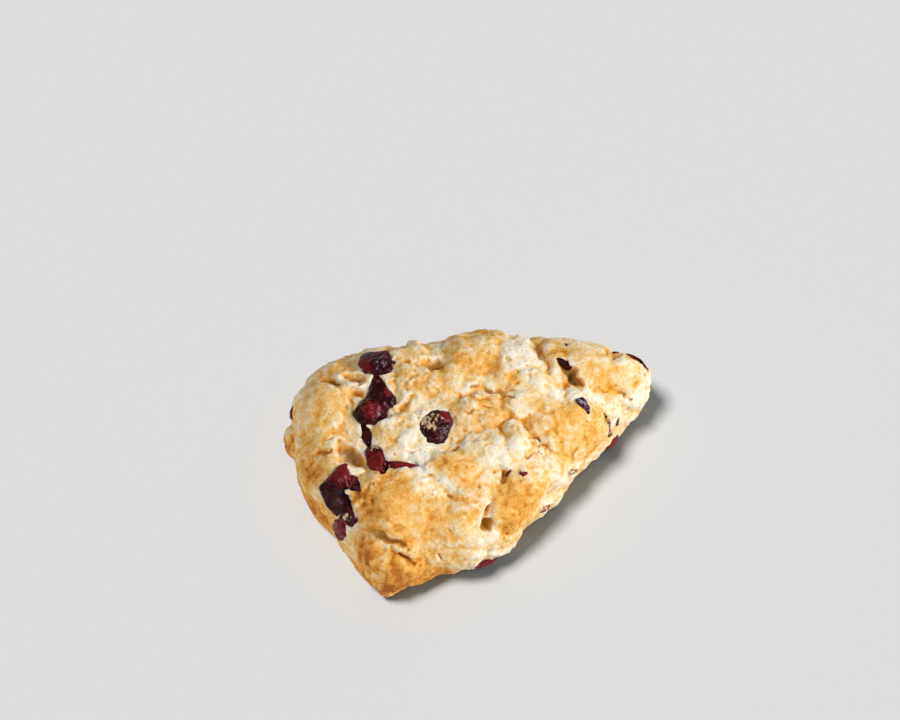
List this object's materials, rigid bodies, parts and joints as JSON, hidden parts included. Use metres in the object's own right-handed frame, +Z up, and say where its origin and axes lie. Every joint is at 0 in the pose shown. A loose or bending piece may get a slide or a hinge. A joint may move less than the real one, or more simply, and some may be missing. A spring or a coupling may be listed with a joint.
{
  "type": "fruit scone wedge",
  "caption": "Baked wedge of crumbly fruit scone, lumpy golden top over pale crumb, with dried cranberries set in its skin",
  "frame": {"origin": "on the flat underside, at the middle of the scone, on the surface it rests on", "axes": "+X towards the wedge's tip, +Y towards its longer cut side, +Z up"},
  "size_m": [0.1146, 0.0802, 0.0336],
  "materials": {
    "dough": "matte baked crumb, golden on the lumps and pale cream between them",
    "cranberry": "semi-gloss dried fruit, wrinkled, dusted with flour in places"
  },
  "bodies": {
    "root": {"dough": "dough", "cranberry_fold": "cranberry", "cranberry_arrow": "cranberry", "cranberry_fist": "cranberry", "cranberry_fist_tail": "cranberry", "cranberry_island": "cranberry", "cranberry_island_tail": "cranberry", "cranberry_round": "cranberry", "cranberry_rim_slab": "cranberry", "cranberry_rim_inner": "cranberry", "cranberry_rim_lower": "cranberry", "cranberry_rim_foot": "cranberry", "cranberry_rim_side": "cranberry", "cranberry_slit": "cranberry", "cranberry_speck": "cranberry", "cranberry_hook": "cranberry", "cranberry_tip": "cranberry", "cranberry_streak": "cranberry", "cranberry_streak_small": "cranberry", "cranberry_tip_foot": "cranberry", "cranberry_near": "cranberry", "cranberry_near_foot": "cranberry", "cranberry_dot": "cranberry", "cranberry_crevice": "cranberry", "cranberry_sliver": "cranberry", "cranberry_far_rim": "cranberry", "cranberry_far_middle": "cranberry", "cranberry_far_tip": "cranberry"}
  },
  "joints": []
}
